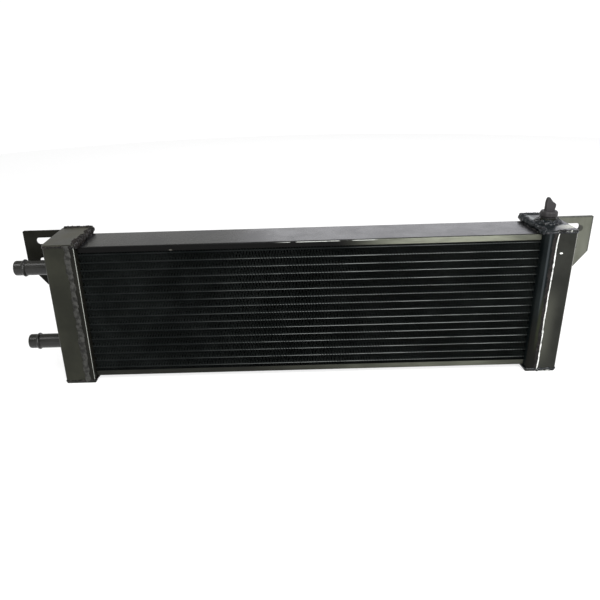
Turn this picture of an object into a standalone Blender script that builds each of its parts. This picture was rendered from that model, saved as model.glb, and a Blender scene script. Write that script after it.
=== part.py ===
"""A welded aluminium hydraulic oil cooler, standing on the undersides of its two end tanks.

The core is a stack of flat oil tubes and corrugated air fins between two channel side plates. Every tube
ends in the slots of a header, and each header is closed by a tank shell and two caps. Both hose stubs are
on the left tank, which a baffle divides, so the oil crosses the core twice. A thumb screw on top of the
right tank lets trapped air out.

X runs along the core, Y from its front to its back, Z up. The origin is the middle of the object's
footprint, level with the undersides of the tanks.
"""

import math

import bmesh
import bpy

MM = 0.001
GAP = 0.3 * MM  # between any two pieces that touch

# Core
TUBE_COUNT = 16
TUBE_PITCH = 10.5 * MM
TUBE_THICK = 2.0 * MM
TUBE_DEPTH = 62.5 * MM
TUBE_WALL = 0.4 * MM
TUBE_CHANNELS = 2
TUBE_END_INSIDE = 2.5 * MM  # how far a tube stands into its tank
FIN_SHEET = 0.4 * MM
FIN_DEPTH = 61.6 * MM
END_FIN_DEPTH = 59.4 * MM  # the outermost fins lie between the side plates' flanges
FIN_FOLDS = 56
SIDE_PLATE_DEPTH = 63.5 * MM
SIDE_PLATE_SHEET = 1.6 * MM
SIDE_PLATE_FLANGE = 7.4 * MM
SIDE_PLATE_BEND = 2.0 * MM
BOTTOM_ROW_EXTRA = 1.4 * MM  # the bottom row of fins is this much taller than the others
CORE_HEIGHT = (TUBE_COUNT + 1) * TUBE_PITCH

# Headers and tanks
HEADER_FACE = 284.5 * MM  # from the core's centre to the header face that the fins meet
HEADER_REACH = 12.0 * MM
HEADER_WALL = 3.0 * MM
HEADER_BEND = 5.0 * MM
TANK_OUTSIDE = 324.0 * MM
TANK_DEPTH = 82.0 * MM
TANK_WALL = 3.0 * MM
TANK_BEND = 3.5 * MM
TANK_OVERHANG = 6.25 * MM  # tanks stand this far above and below the side plates
CAP_THICK = 3.0 * MM
CAP_CORE_CORNER = 1.5 * MM  # a cap's corners on the core's side; its outer corners follow the tank's bends
BAFFLE_THICK = 2.0 * MM
BAFFLE_CORNER = 4.0 * MM
TANK_HEIGHT = CORE_HEIGHT + 2 * TANK_OVERHANG
SHELL_HEIGHT = TANK_HEIGHT - 2 * (CAP_THICK + GAP)
MID_Z = TANK_HEIGHT / 2

# Hose stubs
STUB_REACH = 379.0 * MM  # from the core's centre to the stub's tip
STUB_RADIUS = 9.7 * MM
STUB_BORE = 8.1 * MM
STUB_BEAD_RADIUS = 11.4 * MM
STUB_BEAD_FROM_TIP = 13.0 * MM
STUB_BEAD_LENGTH = 5.0 * MM
STUB_TIP_ROUND = 2.0 * MM
STUB_TIP_DROP = 1.2 * MM  # how much smaller the tip's radius is than the stub's
STUB_INSIDE = 2.0 * MM
STUB_HEIGHTS = {"upper": MID_Z + 54.0 * MM, "lower": MID_Z - 51.5 * MM}

# Mounting brackets: one pattern, welded on a little further out and lower on the right
BRACKET_REACH = {"left": 376.0 * MM, "right": 379.0 * MM}
BRACKET_TOP = {"left": MID_Z + 94.0 * MM, "right": MID_Z + 92.5 * MM}
BRACKET_THICK = 3.2 * MM
BRACKET_FRONT = 33.5 * MM
BRACKET_HEIGHT = 102.0 * MM
BRACKET_EDGE_HEIGHT = 48.0 * MM  # from the top down to the long chamfer
BRACKET_CHAMFER_WIDTH = 41.5 * MM
BRACKET_CORNER = 1.5 * MM
SLOT_WIDTH = 9.5 * MM
SLOT_LENGTH = 28.0 * MM
SLOT_FROM_EDGE = 16.0 * MM
SLOTS_FROM_TOP = (14.2 * MM, 42.0 * MM)

# Air bleed valve, on the right tank's top cap
BLEED_X = 303.5 * MM
BUNG_RADIUS = 11.0 * MM
BUNG_HEIGHT = 5.0 * MM
BUNG_SPIGOT_RADIUS = 8.0 * MM
BUNG_SPIGOT_LENGTH = 5.0 * MM
BUNG_BORE = 5.2 * MM
BUNG_CHAMFER = 1.0 * MM
SEAL_INNER = 6.2 * MM
SEAL_OUTER = 9.4 * MM
SEAL_THICK = 1.6 * MM
SEAL_EDGE = 0.4 * MM
KEY_COLLAR_RADIUS = 10.5 * MM
KEY_COLLAR_HEIGHT = 7.0 * MM
KEY_EDGE = 1.2 * MM
KEY_SHANK_RADIUS = 4.6 * MM
KEY_SHANK_LENGTH = 11.0 * MM
KEY_WING_THICK = 5.0 * MM
KEY_WING_TURN = math.radians(18)

CORE_X = (STUB_REACH - BRACKET_REACH["right"]) / 2  # the origin is the middle of the footprint
CORE_BOTTOM = TANK_OVERHANG
CAP_TOP = TANK_HEIGHT
BUNG_BOTTOM = CAP_TOP + GAP
BUNG_TOP = BUNG_BOTTOM + BUNG_HEIGHT
SEAL_BOTTOM = BUNG_TOP + GAP
KEY_SEAT = SEAL_BOTTOM + SEAL_THICK + GAP

ARC_STEPS = 5
ROUND_STEPS = 28
TIP_STEPS = 3
BEAD_STEPS = 6
CUTTER_OVERSHOOT = 6  # a cutter is this many times as long as the wall it goes through is thick
MERGE_DISTANCE = 0.01 * MM
SHARP_ANGLE = math.radians(35)
SIDES = {"left": -1, "right": 1}


def clear_scene():
    for obj in list(bpy.data.objects):
        bpy.data.objects.remove(obj, do_unlink=True)


def new_collection(name):
    collection = bpy.data.collections.new(name)
    bpy.context.scene.collection.children.link(collection)
    return collection


def new_material(name, colour, roughness, metallic):
    material = bpy.data.materials.new(name)
    material.use_nodes = True
    shader = material.node_tree.nodes["Principled BSDF"]
    shader.inputs["Base Color"].default_value = (*colour, 1.0)
    shader.inputs["Roughness"].default_value = roughness
    shader.inputs["Metallic"].default_value = metallic
    material.diffuse_color = (*colour, 1.0)
    return material


clear_scene()
PARTS = new_collection("hydraulic_oil_cooler")
CUTTERS = new_collection("cutters")
BLACK_PAINT = new_material("black_paint", (0.035, 0.035, 0.034), 0.38, 0.3)
CORE_PAINT = new_material("core_paint", (0.02, 0.02, 0.021), 0.5, 0.2)
TUBE_PAINT = new_material("tube_paint", (0.05, 0.05, 0.052), 0.35, 0.4)
BLEED_PLASTIC = new_material("bleed_plastic", (0.06, 0.052, 0.05), 0.6, 0.0)
SEAL_RUBBER = new_material("seal_rubber", (0.02, 0.02, 0.02), 0.8, 0.0)


def add(name, data, material, collection=PARTS):
    """A new object of this mesh or curve."""
    obj = bpy.data.objects.new(name, data)
    collection.objects.link(obj)
    if material and not data.materials:
        data.materials.append(material)
    return obj


def rounded(corners):
    """An outline through (x, y, radius) corners, each with a radius turned into an arc."""
    points = []
    for index, (x, y, radius) in enumerate(corners):
        if radius == 0:
            points.append((x, y))
            continue
        before = corners[index - 1]
        after = corners[(index + 1) % len(corners)]
        to_before = math.atan2(before[1] - y, before[0] - x)
        to_after = math.atan2(after[1] - y, after[0] - x)
        opening = (to_after - to_before) % (2 * math.pi)
        turn_left = opening > math.pi
        inside = opening if not turn_left else 2 * math.pi - opening
        middle = to_before + opening / 2 + (math.pi if turn_left else 0)
        centre_distance = radius / math.sin(inside / 2)
        centre_x = x + centre_distance * math.cos(middle)
        centre_y = y + centre_distance * math.sin(middle)
        sweep = math.pi - inside
        for step in range(ARC_STEPS + 1):
            offset = sweep * (step / ARC_STEPS - 0.5)
            angle = middle + math.pi + (offset if turn_left else -offset)
            points.append((centre_x + radius * math.cos(angle), centre_y + radius * math.sin(angle)))
    return points


def slot_outline(centre_x, centre_y, length, width, steps=8):
    """A slot along X with round ends."""
    reach = length / 2 - width / 2
    points = []
    for side in (1, -1):
        for step in range(steps + 1):
            angle = math.pi * (step / steps - 0.5)
            x = centre_x + side * (reach + width / 2 * math.cos(angle))
            points.append((x, centre_y + side * width / 2 * math.sin(angle)))
    return points


def circle_outline(centre_x, centre_y, radius):
    angles = [2 * math.pi * step / ROUND_STEPS for step in range(ROUND_STEPS)]
    return [(centre_x + radius * math.cos(a), centre_y + radius * math.sin(a)) for a in angles]


def channel_outline(width, height, sheet, bend):
    """A sheet bent into a U: its web lies along X with its outer face at y = 0, its flanges reach up to height."""
    half = width / 2
    inner = half - sheet
    return rounded([
        (-half, height, 0),
        (-half, 0, bend),
        (half, 0, bend),
        (half, height, 0),
        (inner, height, 0),
        (inner, sheet, bend - sheet),
        (-inner, sheet, bend - sheet),
        (-inner, height, 0),
    ])


def flat_curve(name, outlines, thickness):
    """A filled 2D curve in its own XY plane, as thick as this; outlines after the first are its holes."""
    curve = bpy.data.curves.new(name, "CURVE")
    curve.dimensions = "2D"
    curve.fill_mode = "BOTH"
    curve.extrude = thickness / 2
    for outline in outlines:
        spline = curve.splines.new("POLY")
        spline.points.add(len(outline) - 1)
        for point, (x, y) in zip(spline.points, outline):
            point.co = (x, y, 0, 1)
        spline.use_cyclic_u = True
    return curve


def turned(name, profile, material, ring=True):
    """A piece turned about Z from (radius, height) points that run down its outer side.

    A ring's section closes back up its bore. A solid piece's starts and ends on the axis.
    """
    mesh = bpy.data.meshes.new(name)
    edges = [(i, i + 1) for i in range(len(profile) - 1)]
    if ring:
        edges.append((len(profile) - 1, 0))
    mesh.from_pydata([(radius, 0, height) for radius, height in profile], edges, [])
    obj = add(name, mesh, material)
    screw = obj.modifiers.new("Turn", "SCREW")
    screw.axis = "Z"
    screw.steps = ROUND_STEPS
    screw.render_steps = ROUND_STEPS
    screw.use_merge_vertices = True
    screw.merge_threshold = MERGE_DISTANCE
    screw.use_smooth_shade = True
    return obj


def as_mesh(obj, collection=PARTS):
    """A mesh object in place of this one, with its modifiers applied and its seams welded."""
    bpy.context.view_layer.update()
    graph = bpy.context.evaluated_depsgraph_get()
    mesh = bpy.data.meshes.new_from_object(obj.evaluated_get(graph))
    work = bmesh.new()
    work.from_mesh(mesh)
    bmesh.ops.remove_doubles(work, verts=work.verts, dist=MERGE_DISTANCE)
    bmesh.ops.recalc_face_normals(work, faces=work.faces)
    work.to_mesh(mesh)
    work.free()
    name = obj.name
    place = obj.matrix_world.copy()
    bpy.data.objects.remove(obj, do_unlink=True)
    made = bpy.data.objects.new(name, mesh)
    collection.objects.link(made)
    made.matrix_world = place
    return made


def boolean(obj, tool, operation):
    tool.hide_render = True
    tool.display_type = "WIRE"
    modifier = obj.modifiers.new(tool.name, "BOOLEAN")
    modifier.operation = operation
    modifier.object = tool
    modifier.solver = "EXACT"


def tube_level(index):
    """Height of a tube's middle; the tubes are counted from the top."""
    return CORE_BOTTOM + CORE_HEIGHT - (index + 1) * TUBE_PITCH


def make_tubes():
    half_thick = TUBE_THICK / 2
    outer = slot_outline(0, 0, TUBE_DEPTH, TUBE_THICK, steps=4)
    channel_pitch = (TUBE_DEPTH - TUBE_WALL) / TUBE_CHANNELS
    channel_length = channel_pitch - TUBE_WALL
    channel_width = 2 * (half_thick - TUBE_WALL)
    holes = []
    for channel in range(TUBE_CHANNELS):
        middle = (channel - (TUBE_CHANNELS - 1) / 2) * channel_pitch
        holes.append(slot_outline(middle, 0, channel_length, channel_width, steps=2))
    length = 2 * (HEADER_FACE + HEADER_WALL + TUBE_END_INSIDE)
    curve = flat_curve("tube", [outer, *holes], length)
    for index in range(TUBE_COUNT):
        tube = add(f"tube_{index + 1:02d}", curve, TUBE_PAINT)
        tube.location = (CORE_X, 0, tube_level(index))
        tube.rotation_euler = (math.pi / 2, 0, math.pi / 2)


def fin_mesh(name, low, high, depth):
    """A sheet folded in a zigzag between two levels; Solidify gives it its thickness."""
    reach = HEADER_FACE - 2 * GAP
    fold_width = 2 * reach / FIN_FOLDS
    lean = math.atan2(high - low, fold_width)
    peak = (high - low) / 2 - FIN_SHEET / 2 / math.cos(lean)
    work = bmesh.new()
    corners = []
    for fold in range(FIN_FOLDS + 1):
        height = peak if fold % 2 == 0 else -peak
        corners.append(work.verts.new((-reach + fold * fold_width, -depth / 2, height)))
    edges = [work.edges.new(pair) for pair in zip(corners, corners[1:])]
    swept = bmesh.ops.extrude_edge_only(work, edges=edges)["geom"]
    far_side = [item for item in swept if isinstance(item, bmesh.types.BMVert)]
    bmesh.ops.translate(work, verts=far_side, vec=(0, depth, 0))
    bmesh.ops.recalc_face_normals(work, faces=work.faces)
    mesh = bpy.data.meshes.new(name)
    work.to_mesh(mesh)
    work.free()
    return mesh


def make_fins():
    tube_clear = TUBE_THICK / 2 + GAP
    plate_clear = SIDE_PLATE_SHEET + GAP
    for index in range(TUBE_COUNT + 1):
        first = index == 0
        last = index == TUBE_COUNT
        row_top = tube_level(index - 1)
        row_bottom = tube_level(index) - (BOTTOM_ROW_EXTRA if last else 0)
        high = row_top - (plate_clear if first else tube_clear)
        low = row_bottom + (plate_clear if last else tube_clear)
        depth = END_FIN_DEPTH if first or last else FIN_DEPTH
        name = f"fin_{index + 1:02d}"
        fin = add(name, fin_mesh(name, low, high, depth), CORE_PAINT)
        fin.location = (CORE_X, 0, (low + high) / 2)
        sheet = fin.modifiers.new("Sheet", "SOLIDIFY")
        sheet.thickness = FIN_SHEET
        sheet.offset = 0
        sheet.use_even_offset = True


def make_side_plates():
    outline = channel_outline(SIDE_PLATE_DEPTH, SIDE_PLATE_FLANGE, SIDE_PLATE_SHEET, SIDE_PLATE_BEND)
    curve = flat_curve("side_plate", [outline], 2 * (HEADER_FACE - GAP))
    # The outline's web is turned outwards, so the top plate is the bottom one rolled over
    bottom = add("side_plate_bottom", curve, BLACK_PAINT)
    bottom.location = (CORE_X, 0, CORE_BOTTOM - BOTTOM_ROW_EXTRA)
    bottom.rotation_euler = (math.pi / 2, 0, math.pi / 2)
    top = add("side_plate_top", curve, BLACK_PAINT)
    top.location = (CORE_X, 0, CORE_BOTTOM + CORE_HEIGHT)
    top.rotation_euler = (-math.pi / 2, 0, math.pi / 2)


def tube_slot_cutter():
    """One cutter for a header: a box for every tube."""
    work = bmesh.new()
    size = (CUTTER_OVERSHOOT * HEADER_WALL, TUBE_DEPTH + 2 * GAP, TUBE_THICK + 2 * GAP)
    for index in range(TUBE_COUNT):
        box = bmesh.ops.create_cube(work, size=1)["verts"]
        bmesh.ops.scale(work, vec=size, verts=box)
        bmesh.ops.translate(work, vec=(0, 0, tube_level(index)), verts=box)
    mesh = bpy.data.meshes.new("tube_slots")
    work.to_mesh(mesh)
    work.free()
    return mesh


def make_headers():
    outline = channel_outline(TANK_DEPTH, HEADER_REACH, HEADER_WALL, HEADER_BEND)
    slots = tube_slot_cutter()
    for side_name, side in SIDES.items():
        curve = flat_curve("header", [outline], SHELL_HEIGHT)
        bent = add(f"header_{side_name}", curve, BLACK_PAINT)
        bent.location = (CORE_X + side * HEADER_FACE, 0, MID_Z)
        bent.rotation_euler = (0, 0, -side * math.pi / 2)
        header = as_mesh(bent)
        cutter = add(f"tube_slots_{side_name}", slots, None, CUTTERS)
        cutter.location = (CORE_X + side * (HEADER_FACE + HEADER_WALL / 2), 0, 0)
        boolean(header, cutter, "DIFFERENCE")


def make_tanks():
    reach = TANK_OUTSIDE - HEADER_FACE - HEADER_REACH - GAP
    outline = channel_outline(TANK_DEPTH, reach, TANK_WALL, TANK_BEND)
    for side_name, side in SIDES.items():
        curve = flat_curve("tank", [outline], SHELL_HEIGHT)
        bent = add(f"tank_{side_name}", curve, BLACK_PAINT)
        bent.location = (CORE_X + side * TANK_OUTSIDE, 0, MID_Z)
        bent.rotation_euler = (0, 0, side * math.pi / 2)
        if side_name == "right":
            continue
        tank = as_mesh(bent)
        for port, height in STUB_HEIGHTS.items():
            work = bmesh.new()
            bmesh.ops.create_cone(
                work,
                cap_ends=True,
                segments=ROUND_STEPS,
                radius1=STUB_RADIUS + GAP,
                radius2=STUB_RADIUS + GAP,
                depth=CUTTER_OVERSHOOT * TANK_WALL,
            )
            mesh = bpy.data.meshes.new(f"port_hole_{port}")
            work.to_mesh(mesh)
            work.free()
            drill = add(f"port_hole_{port}", mesh, None, CUTTERS)
            drill.location = (CORE_X - TANK_OUTSIDE + TANK_WALL / 2, 0, height)
            drill.rotation_euler = (0, math.pi / 2, 0)
            boolean(tank, drill, "DIFFERENCE")


def make_caps():
    half = TANK_DEPTH / 2
    for side_name, side in SIDES.items():
        inner_x = side * HEADER_FACE
        outer_x = side * TANK_OUTSIDE
        outline = rounded([
            (inner_x, -half, CAP_CORE_CORNER),
            (outer_x, -half, TANK_BEND),
            (outer_x, half, TANK_BEND),
            (inner_x, half, CAP_CORE_CORNER),
        ])
        spigot_hole = circle_outline(BLEED_X, 0, BUNG_SPIGOT_RADIUS + GAP)
        for level_name, height in (("top", TANK_HEIGHT - CAP_THICK / 2), ("bottom", CAP_THICK / 2)):
            holes = [spigot_hole] if (side_name, level_name) == ("right", "top") else []
            curve = flat_curve("tank_cap", [outline, *holes], CAP_THICK)
            cap = add(f"tank_cap_{level_name}_{side_name}", curve, BLACK_PAINT)
            cap.location = (CORE_X, 0, height)


def make_baffle():
    inner_x = -(HEADER_FACE + HEADER_WALL + GAP)
    outer_x = -(TANK_OUTSIDE - TANK_WALL - GAP)
    half = TANK_DEPTH / 2 - TANK_WALL - GAP
    outline = rounded([
        (inner_x, -half, BAFFLE_CORNER),
        (inner_x, half, BAFFLE_CORNER),
        (outer_x, half, BAFFLE_CORNER),
        (outer_x, -half, BAFFLE_CORNER),
    ])
    baffle = add("pass_baffle", flat_curve("pass_baffle", [outline], BAFFLE_THICK), BLACK_PAINT)
    baffle.location = (CORE_X, 0, MID_Z)


def make_hose_stubs():
    """A hose tube with a raised bead behind its rounded tip, turned about Z and laid over to point along -X."""
    tip = STUB_REACH
    root = TANK_OUTSIDE - TANK_WALL - STUB_INSIDE
    bead = tip - STUB_BEAD_FROM_TIP
    bead_half = STUB_BEAD_LENGTH / 2
    bead_rise = STUB_BEAD_RADIUS - STUB_RADIUS
    outer = []
    for step in range(TIP_STEPS + 1):
        angle = math.pi / 2 * (1 - step / TIP_STEPS)
        radius = STUB_RADIUS - STUB_TIP_DROP * (1 - math.cos(angle))
        outer.append((radius, tip - STUB_TIP_ROUND * (1 - math.sin(angle))))
    for step in range(BEAD_STEPS + 1):
        share = step / BEAD_STEPS
        rise = bead_rise * math.sin(math.pi * share)
        outer.append((STUB_RADIUS + rise, bead + bead_half - STUB_BEAD_LENGTH * share))
    outer.append((STUB_RADIUS, root))
    profile = [*outer, (STUB_BORE, root), (STUB_BORE, tip)]
    for port, height in STUB_HEIGHTS.items():
        stub = turned(f"hose_stub_{port}", profile, BLACK_PAINT)
        stub.location = (CORE_X, 0, height)
        stub.rotation_euler = (0, -math.pi / 2, 0)


def make_brackets():
    for side_name, side in SIDES.items():
        inner_x = TANK_OUTSIDE + GAP
        reach = BRACKET_REACH[side_name]
        top = BRACKET_TOP[side_name]
        foot = top - BRACKET_HEIGHT
        outline = rounded([
            (side * inner_x, top, 0),
            (side * reach, top, BRACKET_CORNER),
            (side * reach, top - BRACKET_EDGE_HEIGHT, BRACKET_CORNER),
            (side * (reach - BRACKET_CHAMFER_WIDTH), foot, BRACKET_CORNER),
            (side * inner_x, foot, 0),
        ])
        slot_x = side * (reach - SLOT_FROM_EDGE - SLOT_LENGTH / 2)
        slots = [slot_outline(slot_x, top - drop, SLOT_LENGTH, SLOT_WIDTH) for drop in SLOTS_FROM_TOP]
        curve = flat_curve("bracket", [outline, *slots], BRACKET_THICK)
        bracket = add(f"bracket_{side_name}", curve, BLACK_PAINT)
        bracket.location = (CORE_X, BRACKET_FRONT + BRACKET_THICK / 2, 0)
        bracket.rotation_euler = (math.pi / 2, 0, 0)


def make_bleed_bung():
    spigot_bottom = BUNG_BOTTOM - BUNG_SPIGOT_LENGTH
    bung = turned(
        "bleed_bung",
        [
            (BUNG_RADIUS - BUNG_CHAMFER, BUNG_TOP),
            (BUNG_RADIUS, BUNG_TOP - BUNG_CHAMFER),
            (BUNG_RADIUS, BUNG_BOTTOM),
            (BUNG_SPIGOT_RADIUS, BUNG_BOTTOM),
            (BUNG_SPIGOT_RADIUS, spigot_bottom),
            (BUNG_BORE, spigot_bottom),
            (BUNG_BORE, BUNG_TOP),
        ],
        BLACK_PAINT,
    )
    bung.location = (CORE_X + BLEED_X, 0, 0)


def make_bleed_seal():
    seal = turned(
        "bleed_seal",
        [
            (SEAL_OUTER - SEAL_EDGE, SEAL_THICK),
            (SEAL_OUTER, SEAL_THICK - SEAL_EDGE),
            (SEAL_OUTER, SEAL_EDGE),
            (SEAL_OUTER - SEAL_EDGE, 0),
            (SEAL_INNER, 0),
            (SEAL_INNER, SEAL_THICK),
        ],
        SEAL_RUBBER,
    )
    seal.location = (CORE_X + BLEED_X, 0, SEAL_BOTTOM)


def make_bleed_key():
    """A thumb screw: a shank, a round collar and a wing with one tall ear, turned by hand about Z."""
    axis = bpy.data.objects.new("bleed_key_axis", None)
    PARTS.objects.link(axis)
    axis.location = (CORE_X + BLEED_X, 0, KEY_SEAT)
    outer = [
        (0, KEY_COLLAR_HEIGHT),
        (KEY_COLLAR_RADIUS - KEY_EDGE, KEY_COLLAR_HEIGHT),
        (KEY_COLLAR_RADIUS, KEY_COLLAR_HEIGHT - KEY_EDGE),
        (KEY_COLLAR_RADIUS, KEY_EDGE / 2),
        (KEY_COLLAR_RADIUS - KEY_EDGE / 2, 0),
        (KEY_SHANK_RADIUS, 0),
        (KEY_SHANK_RADIUS, -KEY_SHANK_LENGTH + KEY_EDGE),
        (KEY_SHANK_RADIUS - KEY_EDGE, -KEY_SHANK_LENGTH),
        (0, -KEY_SHANK_LENGTH),
    ]
    key = as_mesh(turned("bleed_key", outer, BLEED_PLASTIC, ring=False))
    key.parent = axis
    wing_outline = rounded([
        (-6.4 * MM, -2.0 * MM, 0),
        (6.6 * MM, -2.0 * MM, 0),
        (8.2 * MM, 6.0 * MM, 2.5 * MM),
        (1.5 * MM, 10.5 * MM, 4.0 * MM),
        (-3.0 * MM, 17.5 * MM, 1.5 * MM),
        (-6.8 * MM, 15.0 * MM, 3.0 * MM),
    ])
    wing_curve = flat_curve("bleed_key_wing", [wing_outline], KEY_WING_THICK)
    wing = as_mesh(add("bleed_key_wing", wing_curve, None, CUTTERS), CUTTERS)
    wing.parent = axis
    wing.location = (0, 0, KEY_COLLAR_HEIGHT)
    wing.rotation_euler = (math.pi / 2, 0, KEY_WING_TURN)
    boolean(key, wing, "UNION")


def shade_round_pieces():
    for obj in PARTS.objects:
        if obj.type == "MESH":
            obj.data.shade_smooth()
            obj.data.set_sharp_from_angle(angle=SHARP_ANGLE)


make_tubes()
make_fins()
make_side_plates()
make_headers()
make_tanks()
make_caps()
make_baffle()
make_hose_stubs()
make_brackets()
make_bleed_bung()
make_bleed_seal()
make_bleed_key()
shade_round_pieces()
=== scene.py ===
"""The looks of the hydraulic oil cooler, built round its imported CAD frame.

The CAD nodes that show keep their meshes and get rounded edges and painted-metal materials. The CAD's
coarse fins and its bleed key are replaced by finer pieces. The weld beads exist only here.

Lengths are metres. X runs along the core, Y from its front to its back, Z up.
"""

import math
import random

import bmesh
import bpy
from mathutils import Euler, Matrix, Vector, noise


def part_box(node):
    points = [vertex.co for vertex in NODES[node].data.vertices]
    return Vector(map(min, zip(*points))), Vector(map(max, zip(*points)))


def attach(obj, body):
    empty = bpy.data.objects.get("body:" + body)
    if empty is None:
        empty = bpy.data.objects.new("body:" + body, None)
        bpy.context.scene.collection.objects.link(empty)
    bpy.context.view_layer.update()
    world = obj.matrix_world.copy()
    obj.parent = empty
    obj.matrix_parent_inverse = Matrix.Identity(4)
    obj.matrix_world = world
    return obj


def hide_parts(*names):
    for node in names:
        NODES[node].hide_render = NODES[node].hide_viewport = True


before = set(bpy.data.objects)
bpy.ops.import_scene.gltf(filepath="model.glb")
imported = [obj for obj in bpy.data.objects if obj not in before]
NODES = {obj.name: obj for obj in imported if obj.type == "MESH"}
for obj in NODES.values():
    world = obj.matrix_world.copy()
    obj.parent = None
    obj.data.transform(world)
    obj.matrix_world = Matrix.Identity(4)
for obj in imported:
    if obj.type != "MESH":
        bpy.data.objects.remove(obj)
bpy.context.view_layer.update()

MM = 0.001
SIDES = {"left": -1, "right": 1}
LEVELS = {"top": 1, "bottom": -1}
TUBE_COUNT = 16
TUBE_PITCH = 10.5 * MM

# Camera
CAMERA_PLACE = (-0.03745, -0.72307, 0.39206)
CAMERA_TURN = (67.461, 1.696, -0.079)  # degrees about X, Y and Z
CAMERA_SENSOR = 36  # mm
CAMERA_LENS = 35.26  # mm
CAMERA_SHIFT = (0.0441, 0.0030)

# Floor
FLOOR_RADIUS = 2.6
FLOOR_DROP = 0.4 * MM

# Folded fins
FIN_PITCH = 3.6 * MM  # one whole fold, up and down
FIN_SHEET = 0.16 * MM
FIN_TOUCH = 0.28 * MM  # the CAD rows stop this short of the tubes
FIN_SQUARENESS = 2.2  # how flat the crests of a fold are
FIN_PHASES = (0.0, 0.08, 0.16, 0.25, 0.34, 0.42)  # points along half a fold, as shares of a whole one
FIN_SLIP = 0.05  # how unevenly the folds lean, as a share of the pitch
FIN_BEND = 0.12 * MM  # how far the ends of the folds stand out of line

# Thumb screw
KEY_COLLAR_RADIUS = 10.5 * MM
KEY_COLLAR_HEIGHT = 7.0 * MM
KEY_TURN = math.radians(18)  # how far the wing is turned from the core's line
KEY_CLEARANCE = 0.3 * MM  # between the seal and the collar

# Weld beads
BEAD_STEP = 0.7 * MM
BEAD_AROUND = 9  # points over the crown
BEAD_SINK = 0.35  # how deep a bead's feet stand in the metal, as a share of its height
BEAD_ROOT = 0.4  # how far below the feet the bead closes, as a share of its height
BEAD_WANDER = 0.18  # how far it strays sideways, as a share of its width
RIPPLE_BOW = 0.45  # how far a ripple's middle runs ahead of its feet, as a share of a ripple
LUMPS = 220  # scales of the noise that shapes a bead, per metre
WANDERS = 90
PITS = 900


# ---------------------------------------------------------------- helpers


def middle(node):
    low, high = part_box(node)
    return (low + high) / 2


def link(name, mesh):
    obj = bpy.data.objects.new(name, mesh)
    bpy.context.scene.collection.objects.link(obj)
    return obj


def finish_piece(obj, body, material, replaces=()):
    """Every piece made here rides on a body and has one material."""
    obj.data.materials.clear()
    obj.data.materials.append(material)
    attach(obj, body)
    if replaces:
        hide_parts(*replaces)


def mesh_from(work, name, smooth=True):
    bmesh.ops.recalc_face_normals(work, faces=work.faces)
    mesh = bpy.data.meshes.new(name)
    work.to_mesh(mesh)
    work.free()
    if smooth:
        mesh.shade_smooth()
    return mesh


def join_rings(work, rings, closed=False):
    """Faces between rings of equal count, and over the two end rings unless the rings form a closed loop."""
    pairs = list(zip(rings, rings[1:]))
    if closed:
        pairs.append((rings[-1], rings[0]))
    for here, there in pairs:
        for turn in range(len(here)):
            following = (turn + 1) % len(here)
            work.faces.new((here[turn], there[turn], there[following], here[following]))
    if not closed:
        work.faces.new(rings[0])
        work.faces.new(tuple(reversed(rings[-1])))


# ---------------------------------------------------------------- materials


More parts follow.
